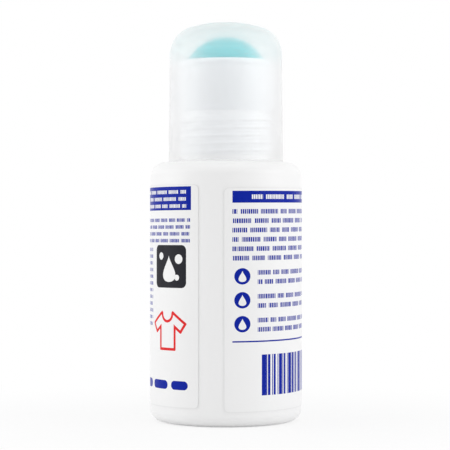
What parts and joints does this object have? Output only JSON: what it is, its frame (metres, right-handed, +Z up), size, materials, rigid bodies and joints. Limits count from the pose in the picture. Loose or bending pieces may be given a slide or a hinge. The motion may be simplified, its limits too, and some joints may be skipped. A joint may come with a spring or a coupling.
{
  "type": "stain remover roller",
  "caption": "Roll-on stain remover: white cylindrical bottle with a wrap-around label, a free-rolling teal ball in a snap-in housing and a frosted domed cap that comes off.",
  "frame": {"origin": "centre of the foot ring, on the plane that the bottle stands on", "axes": "+Z up along the bottle's axis towards the cap; -Y is the side with the label's seam"},
  "size_m": [0.0424, 0.0422, 0.1108],
  "materials": {
    "bottle_white": "satin white polyethylene",
    "label_film": "smooth white film with blue, red and dark print",
    "liquid": "clear liquid",
    "housing_white": "satin white polyethylene",
    "ball_teal": "polished teal polypropylene",
    "cap_frosted": "frosted translucent polypropylene"
  },
  "bodies": {
    "bottle_body": {"bottle": "bottle_white", "wrap_label": "label_film", "liquid_fill": "liquid", "ball_housing": "housing_white"},
    "ball_body": {"roller_ball": "ball_teal"},
    "cap_body": {"screw_cap": "cap_frosted"}
  },
  "joints": [
    {"name": "ball_roll", "type": "hinge", "parent": "bottle_body", "child": "ball_body", "pos_m": [0, 0, 0.0949], "axis": [1, 0, 0], "continuous": true},
    {"name": "cap_lift", "type": "slide", "parent": "bottle_body", "child": "cap_body", "axis": [0, 0, 1], "range_m": [0, 0.045]}
  ]
}
